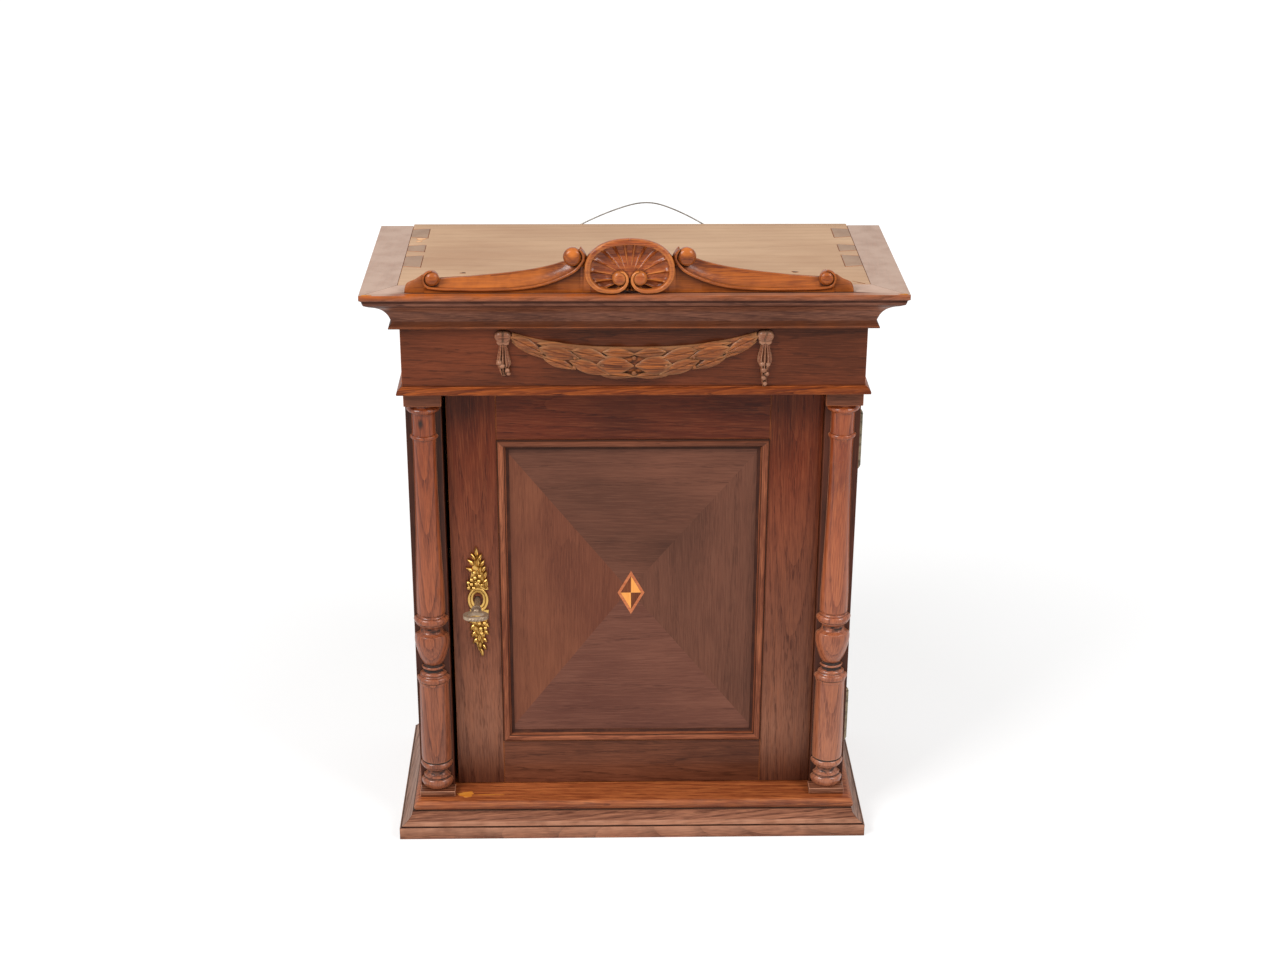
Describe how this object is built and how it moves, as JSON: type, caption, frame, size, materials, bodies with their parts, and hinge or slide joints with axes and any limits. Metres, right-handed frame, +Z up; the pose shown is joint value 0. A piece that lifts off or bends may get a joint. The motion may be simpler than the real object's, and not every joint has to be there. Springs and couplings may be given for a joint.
{
  "type": "hanging wall cabinet",
  "caption": "Small wall cabinet with a framed and veneered door between turned half columns, a stepped cornice with a carved crest, a garland frieze and a moulded base.",
  "frame": {"origin": "centre of the overall bounding box in X and Y, at the underside of the base", "axes": "+X to the cabinet's right as seen from the front, +Y from the front to the wall, +Z up"},
  "size_m": [0.4992, 0.234, 0.6391],
  "materials": {
    "oak": "shellac-polished reddish-brown hardwood with a satin sheen",
    "oak_dark": "dark stained hardwood, satin",
    "oak_column": "turned, stained and polished hardwood with cathedral grain",
    "oak_carved": "carved, stained and polished, worn bright on the high places",
    "bare_wood": "unfinished board, greyed and dusty",
    "pine": "unfinished softwood",
    "veneer": "quartered veneer, polished",
    "inlay": "light and dark veneer inlay, polished",
    "weathered_wood": "carved ornament, dry and greyed",
    "gilt_brass": "cast and burnished",
    "patinated_brass": "dull green-brown patina",
    "steel": "dark, worn, lightly oxidised"
  },
  "bodies": {
    "case": {"base_moulding_front": "oak", "base_moulding_left": "oak", "base_moulding_right": "oak", "base_rail_back": "pine", "base_board": "oak", "side_left": "oak_dark", "side_right": "oak_dark", "top_board": "bare_wood", "back_board_left": "pine", "back_board_right": "pine", "frieze_board": "oak_dark", "soffit_board": "oak_dark", "door_stop": "pine", "shelf": "pine", "shelf_cleat_left": "pine", "shelf_cleat_right": "pine", "cornice_front": "oak", "cornice_left": "oak", "cornice_right": "oak", "frieze_moulding_front": "oak", "frieze_moulding_left": "oak", "frieze_moulding_right": "oak", "crest_arm_left": "oak_carved", "crest_arm_right": "oak_carved", "crest_shell": "oak_carved", "swag_garland": "weathered_wood", "swag_tassel_left": "weathered_wood", "swag_tassel_right": "weathered_wood", "hanging_wire": "steel", "hanger_screw_left": "steel", "hanger_screw_right": "steel", "strike_plate": "steel", "pilaster_left": "oak_dark", "column_left": "oak_column", "capital_left": "oak_column", "plinth_left": "oak_column", "hinge_lower_case_leaf": "patinated_brass", "hinge_upper_case_leaf": "patinated_brass", "hinge_lower_pin": "patinated_brass", "hinge_upper_pin": "patinated_brass"},
    "door": {"pilaster_right": "oak_dark", "column_right": "oak_column", "capital_right": "oak_column", "plinth_right": "oak_column", "stile_left": "oak", "stile_right": "oak", "rail_top": "oak", "rail_bottom": "oak", "door_panel": "veneer", "inlay_lozenge": "inlay", "panel_moulding_top": "oak", "panel_moulding_right": "oak", "panel_moulding_bottom": "oak", "panel_moulding_left": "oak", "hinge_lower_door_leaf": "patinated_brass", "hinge_upper_door_leaf": "patinated_brass", "escutcheon": "gilt_brass", "lock_case": "steel"},
    "lock_bolt": {"lock_bolt": "steel"},
    "key": {"key": "steel"}
  },
  "joints": [
    {"name": "door_swing", "type": "hinge", "parent": "case", "child": "door", "pos_m": [0.2205, -0.0324, 0.258], "axis": [0, 0, 1], "range_deg": [0, 180]},
    {"name": "key_turn", "type": "hinge", "parent": "door", "child": "key", "pos_m": [-0.1542, -0.0529, 0.2493], "axis": [0, -1, 0], "range_deg": [0, 180]},
    {"name": "bolt_slide", "type": "slide", "parent": "door", "child": "lock_bolt", "axis": [-1, 0, 0], "range_m": [0, 0.009]}
  ],
  "couplings": [
    {"joint": "bolt_slide", "follows": "key_turn", "m_per_rad": 0.0028647}
  ]
}
